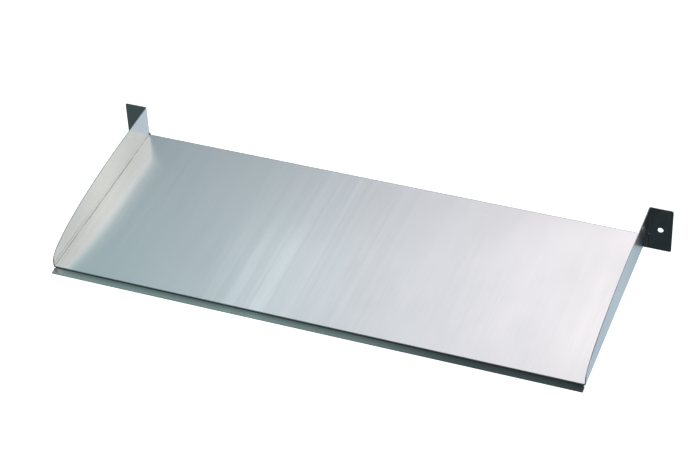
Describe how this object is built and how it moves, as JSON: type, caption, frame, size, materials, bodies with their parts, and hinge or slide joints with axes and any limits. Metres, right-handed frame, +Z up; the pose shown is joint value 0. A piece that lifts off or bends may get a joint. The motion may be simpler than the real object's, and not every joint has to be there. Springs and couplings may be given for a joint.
{
  "type": "wave slide tray",
  "caption": "Wide shallow slide bed folded from stainless sheet, with low side cheeks, a front lip and rear ears that bolt to posts.",
  "frame": {"origin": "midway between the two ear holes, on the rear face of the ears", "axes": "+X across the slide, +Y out of the rear face towards the posts, +Z up"},
  "size_m": [1.042, 0.4156, 0.091],
  "materials": {
    "brushed_stainless": "bare stainless sheet with a fine directional grain, soft reflections",
    "seam_weld": "rippled weld bead, lightly heat-tinted"
  },
  "bodies": {
    "root": {"slide_plate": "brushed_stainless", "front_lip": "brushed_stainless", "rear_flange": "brushed_stainless", "left_cheek": "brushed_stainless", "right_cheek": "brushed_stainless", "left_ear": "brushed_stainless", "right_ear": "brushed_stainless", "left_seam_weld": "seam_weld", "right_seam_weld": "seam_weld"}
  },
  "joints": []
}
